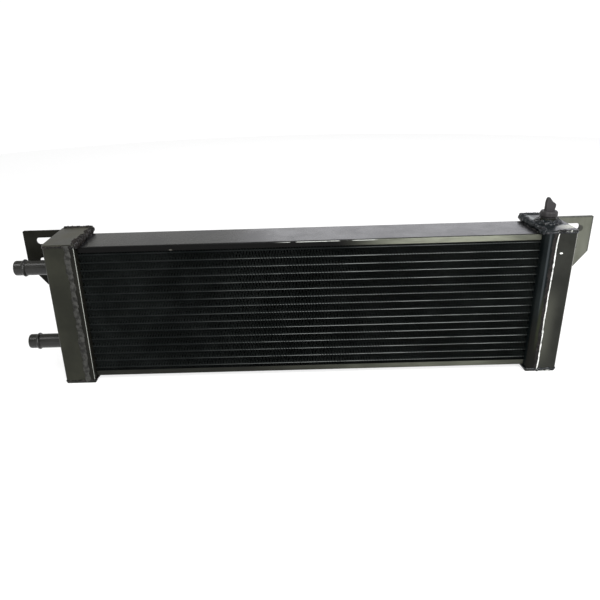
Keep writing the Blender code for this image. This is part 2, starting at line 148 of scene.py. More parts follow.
class Nodes:
    """A short way to write a node tree."""

    def __init__(self, tree, coordinates):
        self.tree = tree
        self.coords = tree.nodes.new("ShaderNodeTexCoord").outputs[coordinates]

    def put(self, socket, value):
        if isinstance(value, bpy.types.NodeSocket):
            self.tree.links.new(value, socket)
        else:
            socket.default_value = value

    def shade(self, **values):
        """Sets the shader's inputs: Base_Color is its Base Color, and so on."""
        shader = self.tree.nodes["Principled BSDF"]
        for name, value in values.items():
            self.put(shader.inputs[name.replace("_", " ")], value)

    def noise(self, scale, detail, roughness, stretch=None, distortion=0.0):
        node = self.tree.nodes.new("ShaderNodeTexNoise")
        node.inputs["Scale"].default_value = scale
        node.inputs["Detail"].default_value = detail
        node.inputs["Roughness"].default_value = roughness
        node.inputs["Distortion"].default_value = distortion
        self.tree.links.new(self.stretched(stretch), node.inputs["Vector"])
        return node.outputs["Fac"]

    def stretched(self, stretch):
        if stretch is None:
            return self.coords
        node = self.tree.nodes.new("ShaderNodeMapping")
        node.inputs["Scale"].default_value = stretch
        self.tree.links.new(self.coords, node.inputs["Vector"])
        return node.outputs["Vector"]

    def axes(self):
        """The X, Y and Z coordinates."""
        node = self.tree.nodes.new("ShaderNodeSeparateXYZ")
        self.tree.links.new(self.coords, node.inputs["Vector"])
        return node.outputs["X"], node.outputs["Y"], node.outputs["Z"]

    def math(self, operation, first, second=0.0):
        node = self.tree.nodes.new("ShaderNodeMath")
        node.operation = operation
        self.put(node.inputs[0], first)
        self.put(node.inputs[1], second)
        return node.outputs[0]

    def times(self, *factors):
        product = factors[0]
        for factor in factors[1:]:
            product = self.math("MULTIPLY", product, factor)
        return product

    def rest_of(self, share):
        return self.math("SUBTRACT", 1.0, share)

    def ramp(self, value, low, high, start=0.0, end=1.0):
        """Start below low, end above high, and a smooth change between them."""
        node = self.tree.nodes.new("ShaderNodeMapRange")
        node.interpolation_type = "SMOOTHSTEP"
        for name, number in (("From Min", low), ("From Max", high), ("To Min", start), ("To Max", end)):
            node.inputs[name].default_value = number
        self.put(node.inputs["Value"], value)
        return node.outputs["Result"]

    def fall(self, value, low, high):
        return self.ramp(value, low, high, 1.0, 0.0)

    def band(self, value, centre, half, soft):
        """1 within half of the centre, falling to 0 over soft."""
        away = self.math("ABSOLUTE", self.math("SUBTRACT", value, centre))
        return self.fall(away, half, half + soft)

    def spot(self, across, along, place, size):
        """1 inside an oval at place (across, along), with this size across and along."""
        first = self.math("DIVIDE", self.math("SUBTRACT", across, place[0]), size[0])
        second = self.math("DIVIDE", self.math("SUBTRACT", along, place[1]), size[1])
        away = self.math("ADD", self.math("MULTIPLY", first, first), self.math("MULTIPLY", second, second))
        return self.fall(away, 0.6, 1.1)

    def mix(self, share, first, second):
        node = self.tree.nodes.new("ShaderNodeMix")
        node.data_type = "RGBA"
        self.put(node.inputs["Factor"], share)
        self.put(node.inputs[6], first)
        self.put(node.inputs[7], second)
        return node.outputs[2]

    def bump(self, height, distance, strength, below=None):
        node = self.tree.nodes.new("ShaderNodeBump")
        node.inputs["Distance"].default_value = distance
        node.inputs["Strength"].default_value = strength
        self.put(node.inputs["Height"], height)
        if below is not None:
            self.put(node.inputs["Normal"], below)
        return node.outputs["Normal"]


def new_material(name):
    material = bpy.data.materials.new(name)
    material.use_nodes = True
    return material, Nodes(material.node_tree, "Object")


def colour(red, green, blue):
    return (red, green, blue, 1.0)


DUST = colour(0.10, 0.10, 0.095)
# Painted shade, for the shaded end of a slot
SLOT_SHADE = colour(0.004, 0.004, 0.002)
# Painted shade, for the bend over a side plate's flange
BEND_SHADE = colour(0.002, 0.002, 0.002)
CHIPPED = colour(0.85, 0.86, 0.82)
# Painted highlight, for glints along that bend
BEND_GLINT = colour(0.34, 0.35, 0.33)


def painted_metal(name, dark, light, roughness, peel=0.05, dust=0.25, specular=0.4, marks=None):
    """Satin black paint on sheet: blotches, orange peel (peel in mm), fine grain and a little dust.

    marks(made, base, shine) may add a piece's own marks and painted light; it returns the new colour and
    specular level.
    """
    material, made = new_material(name)
    blotch = made.noise(22, 4, 0.6)
    grain = made.noise(2600, 2, 0.6)
    peel_noise = made.noise(420, 3, 0.5)
    dust_noise = made.noise(900, 6, 0.75, distortion=0.4)
    base = made.mix(made.ramp(blotch, 0.35, 0.68), colour(*dark), colour(*light))
    base = made.mix(made.times(made.ramp(dust_noise, 0.66, 0.78), dust), base, DUST)
    shine = specular
    if marks:
        base, shine = marks(made, base, shine)
    rough = made.ramp(blotch, 0.3, 0.7, roughness - 0.05, roughness + 0.07)
    rough = made.math("ADD", rough, made.ramp(grain, 0.3, 0.7, -0.04, 0.05))
    fine = made.bump(grain, 0.02 * MM, 0.6)
    skin = made.bump(peel_noise, peel * MM, 0.8, fine)
    made.shade(Base_Color=base, Roughness=rough, Normal=skin, Metallic=0.0, Specular_IOR_Level=shine)
    return material


def plate_marks(made, base, shine):
    """The side plates' front flanges: painted reflection, grey-green to the right; black and dull elsewhere.
    """
    x, y, z = made.axes()
    low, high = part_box("side_plate_top")
    reflection_colour = colour(0.165, 0.172, 0.135)
    black = colour(0.004, 0.004, 0.004)
    brown = colour(0.12, 0.115, 0.10)

    front = made.fall(y, low.y + 0.35 * MM, low.y + 1.15 * MM)
    upper = made.ramp(z, 0.09, 0.10)
    # Painted reflection of the light on the right: grey-green on the flanges towards the right, less at the
    # far right end
    top_reflection = made.times(upper, made.ramp(x, 0.03, 0.16))
    bottom_reflection = made.times(made.rest_of(upper), made.ramp(x, -0.10, 0.24, 0.06, 0.45))
    streaks = made.ramp(made.noise(30, 4, 0.6, stretch=(1, 1, 6)), 0.3, 0.7, 0.75, 1.15)
    right_end = made.ramp(x, 0.215, 0.280, 1.0, 0.40)
    flange_reflection = made.times(made.math("ADD", top_reflection, bottom_reflection), streaks, right_end)
    base = made.mix(front, base, made.mix(flange_reflection, black, reflection_colour))

    # Painted shade in the bend between top and flange, and bright painted-highlight dashes before it begins
    bend = made.times(made.ramp(z, high.z - 0.65 * MM, high.z - 0.25 * MM),
                      made.fall(y, low.y + 2.15 * MM, low.y + 2.95 * MM))
    bend_shade = made.times(bend, made.ramp(x, 0.07, 0.10))
    base = made.mix(bend_shade, base, BEND_SHADE)
    dashes = made.ramp(made.noise(60, 3, 0.5, stretch=(1, 0.2, 0.2)), 0.44, 0.54)
    painted_glints = made.times(made.band(z, high.z - 1.35 * MM, 0.25 * MM, 0.3 * MM),
                         made.fall(y, low.y + 0.75 * MM, low.y + 1.35 * MM),
                         made.band(x, 0.035, 0.05, 0.03), dashes)
    base = made.mix(painted_glints, base, BEND_GLINT)
    smudge = made.spot(x, z, (-169.5 * MM, 177.6 * MM), (2.2 * MM, 1.4 * MM))
    base = made.mix(made.times(front, smudge, 0.5), base, brown)
    dull = made.times(made.math("MAXIMUM", front, bend_shade), 0.9)
    return base, made.times(made.rest_of(dull), shine)


def header_left_marks(made, base, shine):
    """A fine bright line of painted highlight along the front bend."""
    x, y, _ = made.axes()
    low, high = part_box("header_left")
    line = made.band(made.math("ADD", x, y), high.x + low.y, 0.25 * MM, 0.3 * MM)
    highlight_breaks = made.ramp(made.noise(50, 3, 0.6), 0.25, 0.5, 0.45, 1.0)
    front = made.fall(y, low.y + 11 * MM, low.y + 12 * MM)
    # Painted highlight: a light grey line on the bend, where it catches the light
    painted_highlight = colour(0.36, 0.37, 0.34)
    return made.mix(made.times(line, highlight_breaks, front), base, painted_highlight), shine


def header_right_marks(made, base, shine):
    """A pale painted highlight down the front, an olive run beside it lower down, and the front darker at the
    bottom.
    """
    x, y, z = made.axes()
    low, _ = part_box("header_right")
    pale = colour(0.035, 0.040, 0.043)
    brown_black = colour(0.0055, 0.0055, 0.0045)
    olive = colour(0.015, 0.017, 0.010)

    front = made.fall(y, low.y + 3 * MM, low.y + 4 * MM)
    # Painted highlight: a pale streak down the front, where it catches the light
    pale_highlight = made.band(x, low.x + 6.5 * MM, 0.5 * MM, 1.4 * MM)
    pale_highlight = made.times(pale_highlight, made.ramp(z, 0.07, 0.10), front, 0.7)
    base = made.mix(pale_highlight, base, pale)
    base = made.mix(made.times(made.fall(z, 0.04, 0.10), front), base, brown_black)
    lower_run = made.band(x, low.x + 9.5 * MM, 1.5 * MM, 3 * MM)
    lower_run = made.times(lower_run, made.band(z, 0.070, 0.008, 0.045), front)
    return made.mix(lower_run, base, olive), shine


def tank_right_marks(made, base, shine):
    """A chip in the front face, a paler patch by the seam and a painted highlight along the outer front edge.
    """
    x, y, z = made.axes()
    low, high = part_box("tank_right")
    pale = colour(0.040, 0.041, 0.033)
    lighter = colour(0.30, 0.30, 0.28)

    front = made.fall(y, low.y + 0.4 * MM, low.y + 0.8 * MM)
    patch = made.fall(x, low.x + 4.2 * MM, low.x + 20.2 * MM)
    patch = made.times(patch, made.band(z, 0.062, 0.020, 0.05), front)
    base = made.mix(patch, base, pale)
    # Painted highlight along the rounded outer front edge
    edge = made.times(made.ramp(x, high.x - 1.7 * MM, high.x - 1.0 * MM),
                      made.fall(y, low.y + 2.4 * MM, low.y + 3.2 * MM),
                      made.ramp(z, 0.11, 0.15, 0.25, 1.0))
    base = made.mix(edge, base, lighter)
    chip = made.spot(x, z, (low.x + 10.0 * MM, low.z + 159.0 * MM), (2.0 * MM, 1.1 * MM))
    return made.mix(made.times(chip, front), base, CHIPPED), shine


def tank_left_marks(made, base, shine):
    """A lighter outer front edge."""
    x, y, _ = made.axes()
    low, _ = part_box("tank_left")
    lighter = colour(0.035, 0.036, 0.030)
    edge = made.times(made.fall(x, low.x + 0.6 * MM, low.x + 1.4 * MM),
                      made.fall(y, low.y + 2.4 * MM, low.y + 3.2 * MM), 0.8)
    return made.mix(edge, base, lighter), shine


def cap_right_marks(made, base, shine):
    """A bright painted highlight in a strip behind the front edge, and a pale streak by the core's side."""
    x, y, z = made.axes()
    low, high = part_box("tank_cap_top_right")
    lighter = colour(0.27, 0.275, 0.235)
    pale = colour(0.10, 0.12, 0.115)

    level = made.ramp(z, high.z - 0.6 * MM, high.z - 0.2 * MM)
    outward = made.math("SUBTRACT", x, high.x - 12 * MM)
    slant = made.math("ADD", y, made.times(outward, -0.25))
    # Painted highlight: a bright strip on the top behind the front edge
    strip = made.times(made.band(slant, low.y + 15 * MM, 6 * MM, 3 * MM),
                       made.ramp(x, low.x + 18.5 * MM, low.x + 23.5 * MM), level,
                       made.ramp(x, low.x + 19.5 * MM, low.x + 37.5 * MM, 0.25, 1.0))
    base = made.mix(strip, base, lighter)
    streak = made.band(x, low.x + 7.5 * MM, 0.8 * MM, 1.8 * MM)
    streak = made.times(streak, made.ramp(y, 4 * MM, 14 * MM), level)
    return made.mix(streak, base, pale), shine


def bracket_right_marks(made, base, shine):
    """Dark edges, painted shade round the outer end of the upper slot, and the grain of the sheet."""
    x, _, z = made.axes()
    _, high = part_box("bracket_right")
    dark = colour(0.02, 0.02, 0.02)
    bright = colour(0.13, 0.135, 0.115)

    # Painted shade: a dark spot where the end of the upper slot lies in shadow
    spotting = made.spot(x, z, (high.x - 15.4 * MM, high.z - 16.4 * MM), (4.2 * MM, 4.6 * MM))
    base = made.mix(spotting, base, SLOT_SHADE)
    edge = made.math("MAXIMUM", made.ramp(x, high.x - 2.2 * MM, high.x - 0.8 * MM),
                     made.ramp(z, high.z - 2.4 * MM, high.z - 1.0 * MM))
    base = made.mix(made.times(edge, 0.75), base, dark)
    grain = made.ramp(made.noise(70, 3, 0.5, stretch=(1, 1, 0.12)), 0.35, 0.65, 0.0, 0.35)
    return made.mix(grain, base, bright), shine


def tube_marks(made, base, shine):
    """A fine painted highlight along each nose: it fades out to the left, and in places it is dotted at each
    fold.
    """
    x, _, z = made.axes()
    # Painted highlight: the light grey of the line along each nose
    bare = colour(0.14, 0.15, 0.145)

    line_height = middle("tube_01").z + 0.15 * MM
    pitches = made.math("DIVIDE", made.math("SUBTRACT", z, line_height), TUBE_PITCH)
    away = made.math("ABSOLUTE", made.math("SUBTRACT", pitches, made.math("ROUND", pitches)))
    line = made.fall(made.times(away, TUBE_PITCH), 0.18 * MM, 0.46 * MM)
    # Painted light: the highlight fades to the left as the light falls off, and by the right header, whose
    # bend shades it
    strength = made.times(made.ramp(x, -0.20, 0.11, 0.02, 1.0), made.ramp(x, 0.262, 0.284, 1.0, 0.2))
    # Painted shade: the top tube's line is dimmed where the flange above shades it, most on the left
    top_tube = made.ramp(z, 0.168, 0.172)
    flange_shade = made.times(top_tube, made.ramp(x, 0.03, 0.10, 1.0, 0.55))
    fold = made.math("COSINE", made.times(x, 2 * math.pi / FIN_PITCH))
    dots = made.ramp(fold, -0.5, 0.6, 0.9, 0.0)
    patches = made.ramp(made.noise(14, 3, 0.5, stretch=(0.8, 0.3, 1.6)), 0.46, 0.54)
    painted_highlight = made.times(line, strength, made.rest_of(flange_shade), made.rest_of(made.times(patches, dots)))
    return made.mix(painted_highlight, base, bare), made.ramp(painted_highlight, 0.0, 1.0, 0.01, 0.12)


def weld_material(name, dark, light, roughness, specular, metallic=0.0, patches=(0.38, 0.62)):
    """A painted or bare weld bead: dark and light patches, and pits. patches sets how much of it is light."""
    material, made = new_material(name)
    spotting = made.noise(160, 5, 0.65)
    pits = made.noise(1500, 4, 0.6)
    base = made.mix(made.ramp(spotting, *patches), colour(*dark), colour(*light))
    rough = made.ramp(pits, 0.3, 0.7, roughness - 0.12, roughness + 0.12)
    skin = made.bump(pits, 0.12 * MM, 0.8)
    made.shade(Base_Color=base, Roughness=rough, Normal=skin)
    made.shade(Metallic=metallic, Specular_IOR_Level=specular)
    return material


def floor_material():
    """A white light table: partly lit from below, so that shadows on it stay soft."""
    material, made = new_material("pale_floor")
    cloud = made.noise(1.3, 2, 0.4)
    base = made.mix(cloud, colour(0.34, 0.34, 0.34), colour(0.36, 0.36, 0.36))
    made.shade(Base_Color=base, Roughness=0.9, Specular_IOR_Level=0.1)
    made.shade(Emission_Color=colour(1, 1, 1), Emission_Strength=0.72)
    return material


BLACK = painted_metal("satin_black", (0.010, 0.0105, 0.0075), (0.018, 0.0185, 0.0135),
                      roughness=0.36, specular=0.12)
TANK_PAINT = {
    "left": painted_metal("tank_paint_left", (0.011, 0.0115, 0.008), (0.018, 0.0185, 0.013),
                          roughness=0.36, specular=0.12, marks=tank_left_marks),
    "right": painted_metal("tank_paint_right", (0.010, 0.0105, 0.0085), (0.017, 0.0175, 0.0145),
                           roughness=0.36, specular=0.12, marks=tank_right_marks),
}
HEADER_PAINT = {
    "left": painted_metal("header_paint_left", (0.005, 0.005, 0.004), (0.009, 0.009, 0.007),
                          roughness=0.34, specular=0.08, marks=header_left_marks),
    "right": painted_metal("header_paint_right", (0.003, 0.0045, 0.005), (0.007, 0.009, 0.009),
                           roughness=0.34, specular=0.05, marks=header_right_marks),
}
CAP_PAINT = {
    "left": painted_metal("cap_paint_left", (0.010, 0.010, 0.006), (0.032, 0.030, 0.018),
                          roughness=0.36, specular=0.30),
    "right": painted_metal("cap_paint_right", (0.004, 0.006, 0.007), (0.010, 0.013, 0.014),
                           roughness=0.26, specular=0.18, marks=cap_right_marks),
}
PLATE_PAINT = painted_metal("plate_black", (0.006, 0.006, 0.0065), (0.009, 0.009, 0.010),
                            roughness=0.26, peel=0.03, specular=0.35, marks=plate_marks)
# The right bracket's grey is painted light: a lit copy of the left one's black paint, lighter as the light
# comes from the right
BRACKET_PAINT = {
    "left": painted_metal("bracket_black", (0.005, 0.005, 0.0035), (0.010, 0.010, 0.0075),
                          roughness=0.42, specular=0.06),
    "right": painted_metal("bracket_grey", (0.055, 0.057, 0.043), (0.085, 0.088, 0.068),
                           roughness=0.45, specular=0.25, marks=bracket_right_marks),
}
TUBE_PAINT = painted_metal("tube_black", (0.004, 0.005, 0.005), (0.008, 0.009, 0.009),
                           roughness=0.30, peel=0.02, marks=tube_marks)
FIN_PAINT = painted_metal("fin_black", (0.0075, 0.0094, 0.0088), (0.0155, 0.0188, 0.0178),
                          roughness=0.5, peel=0.02, specular=0.12)
STUB_PAINT = painted_metal("stub_paint", (0.003, 0.003, 0.0025), (0.006, 0.006, 0.005),
                           roughness=0.30, specular=0.42)
PLASTIC = painted_metal("key_plastic", (0.019, 0.0175, 0.0185), (0.034, 0.031, 0.033),
                        roughness=0.6, peel=0.12, dust=0.15, specular=0.3)
RUBBER = painted_metal("seal_rubber", (0.010, 0.010, 0.010), (0.018, 0.018, 0.018), roughness=0.75)
WELD_BLACK = weld_material("weld_black", (0.003, 0.0028, 0.0025), (0.012, 0.010, 0.009),
                           roughness=0.22, specular=0.16)
WELD_NAVY = weld_material("weld_navy", (0.002, 0.0025, 0.0035), (0.006, 0.009, 0.011),
                          roughness=0.13, specular=0.32)
WELD_GREY = weld_material("weld_grey", (0.012, 0.012, 0.011), (0.038, 0.038, 0.035),
                          roughness=0.5, specular=0.12)
# Painted highlights: the light patches stand for glints on a dark weld
WELD_PAINTED_GLINTS = weld_material("weld_painted_glints", (0.003, 0.003, 0.003), (0.42, 0.43, 0.40),
                             roughness=0.35, specular=0.2, patches=(0.52, 0.60))
# Bare metal made near white: partly a painted highlight, the bright line along the right seams
WELD_BRIGHT = weld_material("weld_bright", (0.62, 0.63, 0.60), (0.88, 0.88, 0.85),
                            roughness=0.38, specular=0.5, metallic=0.6)


# ---------------------------------------------------------------- carried-over CAD nodes


def dress(node, material, edge=0.0):
    """A CAD node with its material, and its sharp edges rounded off by a bevel of this width."""
    obj = NODES[node]
    obj.data.materials.clear()
    obj.data.materials.append(material)
    if edge:
        weld = obj.modifiers.new("Join", "WELD")
        weld.merge_threshold = 0.01 * MM
        bevel = obj.modifiers.new("Edge", "BEVEL")
        bevel.width = edge
        bevel.segments = 2
        bevel.limit_method = "ANGLE"
        bevel.angle_limit = math.radians(40)
        bevel.harden_normals = False
        normals = obj.modifiers.new("Shade", "WEIGHTED_NORMAL")
        normals.weight = 80


def dress_cad_nodes():
    for index in range(TUBE_COUNT):
        dress(f"tube_{index + 1:02d}", TUBE_PAINT)
    for level in LEVELS:
        dress(f"side_plate_{level}", PLATE_PAINT, 0.2 * MM)
    for side in SIDES:
        dress(f"header_{side}", HEADER_PAINT[side], 0.3 * MM)
        dress(f"tank_{side}", TANK_PAINT[side], 0.4 * MM)
        dress(f"tank_cap_top_{side}", CAP_PAINT[side], 0.5 * MM)
        dress(f"tank_cap_bottom_{side}", TANK_PAINT[side], 0.5 * MM)
        dress(f"bracket_{side}", BRACKET_PAINT[side], 0.35 * MM)
    for port in ("upper", "lower"):
        dress(f"hose_stub_{port}", STUB_PAINT)
    dress("pass_baffle", BLACK, 0.2 * MM)
    dress("bleed_bung", BLACK, 0.3 * MM)
    dress("bleed_seal", RUBBER)


# ---------------------------------------------------------------- fins


def fin_line(low, high, reach_low, reach_high, rng):
    """The middle line of a folded sheet between two levels, as (x, z) points from one header to the other."""
    folds = round((reach_high - reach_low) / FIN_PITCH)
    pitch = (reach_high - reach_low) / folds
    centre = (low + high) / 2
    height = (high - low - FIN_SHEET) / 2
    points = []
    for fold in range(folds):
        start = reach_low + fold * pitch
        slip = rng.uniform(-FIN_SLIP, FIN_SLIP)
        for half in (0, 0.5):
            for phase in FIN_PHASES:
                share = phase + half
                wave = math.sin(2 * math.pi * share)
                level = math.tanh(FIN_SQUARENESS * wave) / math.tanh(FIN_SQUARENESS)
                lean = slip * math.sin(math.pi * share) ** 2
                points.append((start + (share + lean) * pitch, centre + height * level))
    points.append((reach_high, centre))
    return points


def sheet_strip(points, front, back, rng):
    """A closed fin sheet along (x, z) points, from front to back, with its ends a little out of line."""
    work = bmesh.new()
    rings = []
    for index, (x, z) in enumerate(points):
        before = points[max(index - 1, 0)]
        after = points[min(index + 1, len(points) - 1)]
        along = Vector((after[0] - before[0], 0, after[1] - before[1])).normalized()
        out = Vector((-along.z, 0, along.x)) * FIN_SHEET / 2
        bend = rng.uniform(-FIN_BEND, FIN_BEND)
        near = Vector((x + bend, front + abs(bend), z))
        far = Vector((x - bend, back - abs(bend), z))
        rings.append([work.verts.new(place) for place in (near + out, near - out, far + out, far - out)])
    join_rings(work, [(over, far_over, far_under, under) for over, under, far_over, far_under in rings])
    return work


def make_fins():
    for index in range(TUBE_COUNT + 1):
        node = f"fin_{index + 1:02d}"
        low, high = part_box(node)
        rng = random.Random(100 + index)
        line = fin_line(low.z - FIN_TOUCH, high.z + FIN_TOUCH, low.x, high.x, rng)
        name = f"fin_folds_{index + 1:02d}"
        mesh = mesh_from(sheet_strip(line, low.y, high.y, rng), name, smooth=False)
        finish_piece(link(name, mesh), "cooler", FIN_PAINT, [node])


# ---------------------------------------------------------------- weld beads


def resample(path, step, closed):
    """Points every step along a path."""
    corners = [Vector(point) for point in path]
    if closed:
        corners.append(corners[0])
    lengths = [0.0]
    for here, there in zip(corners, corners[1:]):
        lengths.append(lengths[-1] + (there - here).length)
    count = max(2, round(lengths[-1] / step))
    places = []
    segment = 0
    for index in range(count + (0 if closed else 1)):
        wanted = lengths[-1] * index / count
        while segment < len(corners) - 2 and lengths[segment + 1] < wanted:
            segment += 1
        span = max(lengths[segment + 1] - lengths[segment], 1e-9)
        places.append(corners[segment].lerp(corners[segment + 1], (wanted - lengths[segment]) / span))
    return places


def weld_bead(name, path, crown_at, width, height, material, seed, rough=0.18, ripple=0.16,
              ripple_pitch=2.4 * MM, closed=False):
    """A bead of stacked ripples along a path. crown_at gives the direction that it crowns in at a point."""
    work = bmesh.new()
    offset = Vector((seed * 3.1, seed * 1.7, seed * 5.3))
    places = resample(path, BEAD_STEP, closed)
    count = len(places)
    rings = []
    for index, place in enumerate(places):
        after = places[(index + 1) % count] if closed or index < count - 1 else place
        before = places[index - 1] if closed or index > 0 else place
        along = (after - before).normalized()
        crown = crown_at(place)
        crown = (crown - along * crown.dot(along)).normalized()
        across = along.cross(crown)
        lump = 1 + rough * noise.fractal(place * LUMPS + offset, 0.8, 2.0, 3)
        stray = noise.noise(place * WANDERS + offset * 2) * BEAD_WANDER * width
        ripples = index * BEAD_STEP / ripple_pitch
        ring = []
        for turn in range(BEAD_AROUND):
            angle = math.pi * turn / (BEAD_AROUND - 1)
            side = math.cos(angle)
            rise = math.sin(angle)
            swell = ripple * math.sin(2 * math.pi * (ripples + RIPPLE_BOW * (1 - side * side)))
            pit = noise.noise(place * PITS + Vector((turn, seed, 0))) * rough / 2
            tall = height * (rise * (lump + swell + pit) - BEAD_SINK * (1 - rise))
            ring.append(work.verts.new(place + across * (width / 2 * lump * side + stray) + crown * tall))
        ring.append(work.verts.new(place - crown * height * (BEAD_SINK + BEAD_ROOT)))
        rings.append(ring)
    join_rings(work, rings, closed)
    finish_piece(link(name, mesh_from(work, name)), "cooler", material)


def rounded_corner_path(corners, radius, steps=5):
    """A closed level path through (x, y, z) corners with its corners rounded."""
    path = []
    count = len(corners)
    for index in range(count):
        here = Vector(corners[index])
        before = (Vector(corners[index - 1]) - here).normalized()
        after = (Vector(corners[(index + 1) % count]) - here).normalized()
        centre = here + (before + after) * radius
        for step in range(steps + 1):
            angle = math.pi / 2 * step / steps
            path.append(centre - after * radius * math.cos(angle) - before * radius * math.sin(angle))
    return path


def ridge_path(x, y, height, steps=40):
    """A slightly wavering line up the right seam: its top bows away from the core and its foot towards it."""
    top_bow, top_share = 1.9 * MM, 0.07
    foot_bow, foot_share = 0.8 * MM, 0.06
    slow_wave, quick_wave = 0.35 * MM, 0.25 * MM
    start, rise = 1.5 * MM, height - 0.5 * MM
    path = []
    for step in range(steps + 1):
        share = step / steps
        bow = top_bow * max(0.0, share - 1 + top_share) / top_share
        bow -= foot_bow * max(0.0, foot_share - share) / foot_share
        wave = slow_wave * math.sin(9 * share + 0.6) + quick_wave * math.sin(31 * share) * (1 - share)
        path.append((x + bow + wave, y, start + share * rise))
    return path


def make_seam_welds():
    """The vertical seams between headers and tank shells, front and back.

    The left ones are one wide grey bead. The right ones are a narrow bright ridge on the tank's side of a
    low black bead.
    """
    for side_name in SIDES:
        low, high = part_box(f"header_{side_name}")
        for face_name, facing in (("front", -1), ("back", 1)):
            y = (low.y if facing < 0 else high.y) - facing * 0.1 * MM
            name = f"seam_weld_{side_name}_{face_name}"
            outward = lambda place, facing=facing: Vector((0, facing, 0))
            if side_name == "right":
                # The ridge's near-white is partly a painted highlight along the seam
                ridge = ridge_path(high.x + 2.9 * MM, y, high.z)
                weld_bead(name + "_ridge", ridge, outward, 1.9 * MM, 0.8 * MM, WELD_BRIGHT, seed=11,
                          rough=0.45)
                x = high.x + 0.3 * MM
            else:
                x = low.x + 2.3 * MM
            seam = [(x, y, 1 * MM), (x, y, high.z + 2 * MM)]
            if side_name == "right":
                weld_bead(name, seam, outward, 4.6 * MM, 0.6 * MM, WELD_BLACK, seed=12, rough=0.5)
            else:
                weld_bead(name, seam, outward, 7.6 * MM, 1.2 * MM, WELD_GREY, seed=3 + facing, rough=0.35,
                          ripple=0.12, ripple_pitch=2.2 * MM)


def make_cap_welds():
    """The joint between each cap and its tank: heavy on the core's side and at the back, fine in front."""
    for side_name, side in SIDES.items():
        paint = WELD_NAVY if side > 0 else WELD_BLACK
        for level, up in LEVELS.items():
            name = f"cap_weld_{level}_{side_name}"
            low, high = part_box(f"tank_cap_{level}_{side_name}")
            skin, joint = (high.z, low.z) if up > 0 else (low.z, high.z)
            inner_x, outer_x = (low.x, high.x) if side > 0 else (high.x, low.x)
            width, height = (8.6 * MM, 3.4 * MM) if up > 0 else (6.4 * MM, 0.9 * MM)

            z = skin - up * 2.4 * MM
            core_path = [(inner_x, low.y + 1.5 * MM, z), (inner_x, high.y - 1.5 * MM, z)]
            outward = lambda place, side=side, up=up: Vector((-side * 0.8, 0, up * 0.75))
            weld_bead(name + "_core", core_path, outward, width, height, paint, seed=61 + side, rough=0.5,
                      ripple=0.22, ripple_pitch=3.4 * MM)

            edge = (high.y - 0.6 * MM, skin - up * 0.8 * MM)
            back_path = [(inner_x, *edge), (outer_x - side * 2 * MM, *edge)]
            outward = lambda place, up=up: Vector((0, 0.55, up * 0.8))
            weld_bead(name + "_back", back_path, outward, 5.6 * MM, 0.8 * height, paint, seed=66 + side,
                      rough=0.25, ripple=0.10, ripple_pitch=3.0 * MM)

            if side_name == "right":
                # The right caps' front beads carry painted glints
                edge = (low.y + 0.3 * MM, skin - up * 0.7 * MM)
                front_path = [(inner_x + 11 * MM, *edge), (outer_x - 2.5 * MM, *edge)]
                front_height = 1.3 * MM if up > 0 else 0.8 * MM
                outward = lambda place, up=up: Vector((0, -0.75, up * 0.65))
                weld_bead(name + "_front", front_path, outward, 3.0 * MM, front_height, WELD_PAINTED_GLINTS, seed=71,
                          rough=0.9, ripple=0.5, ripple_pitch=5.2 * MM)

            plan = ((low.x, low.y), (high.x, low.y), (high.x, high.y), (low.x, high.y))
            path = rounded_corner_path([(x, y, joint) for x, y in plan], 3 * MM)
            centre = (low + high) / 2
            half = (high - low) / 2

            # The high power keeps it square to each side and turns it only near the corners
            def away_from_middle(place, centre=centre, half=half, power=9):
                x = (place.x - centre.x) / half.x
                y = (place.y - centre.y) / half.y
                return Vector((x ** power, y ** power, 0.0001))

            weld_bead(name, path, away_from_middle, 2.6 * MM, 0.7 * MM, paint, seed=20 + side, rough=0.7,
                      closed=True)


def make_core_welds():
    """Where the side plates meet the headers, along Y."""
    for side_name, side in SIDES.items():
        for level, up in LEVELS.items():
            low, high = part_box(f"side_plate_{level}")
            x = (low.x if side < 0 else high.x) - side * 0.3 * MM
            z = high.z if up > 0 else low.z
            path = [(x, low.y + 1 * MM, z), (x, high.y - 1 * MM, z)]
            outward = lambda place, side=side, up=up: Vector((-side * 0.5, 0, up))
            weld_bead(f"plate_weld_{level}_{side_name}", path, outward, 6.0 * MM, 2.2 * MM, WELD_BLACK,
                      seed=31 + side + up, rough=0.45)


def make_stub_welds():
    """A ring round each hose stub, where it enters the left tank."""
    tank_low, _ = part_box("tank_left")
    around = 48
    for port in ("upper", "lower"):
        low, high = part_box(f"hose_stub_{port}")
        centre = Vector((tank_low.x, 0, (low.z + high.z) / 2))
        radius = (high.z - low.z) / 2
        path = []
        for step in range(around):
            angle = 2 * math.pi * step / around
            path.append(centre + Vector((0, math.cos(angle) * radius, math.sin(angle) * radius)))
        outward = lambda place, centre=centre: Vector((-1, 0, 0)) + (place - centre).normalized() * 0.5
        weld_bead(f"stub_weld_{port}", path, outward, 4.6 * MM, 1.9 * MM, WELD_BLACK, seed=41, rough=0.35,
                  closed=True)


def make_bracket_welds():
    """A bead up the front and the back of each bracket, where it stands on its tank."""
    for side_name, side in SIDES.items():
        low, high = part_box(f"bracket_{side_name}")
        x = low.x if side > 0 else high.x
        for face_name, y, facing in (("front", low.y, -1), ("back", high.y, 1)):
            path = [(x, y, low.z + 2 * MM), (x, y, high.z - 2 * MM)]
            outward = lambda place, side=side, facing=facing: Vector((side, facing, 0))
            weld_bead(f"bracket_weld_{side_name}_{face_name}", path, outward, 4.2 * MM, 1.5 * MM, WELD_BLACK,
                      seed=51 + side, rough=0.35)


# ---------------------------------------------------------------- bleed valve


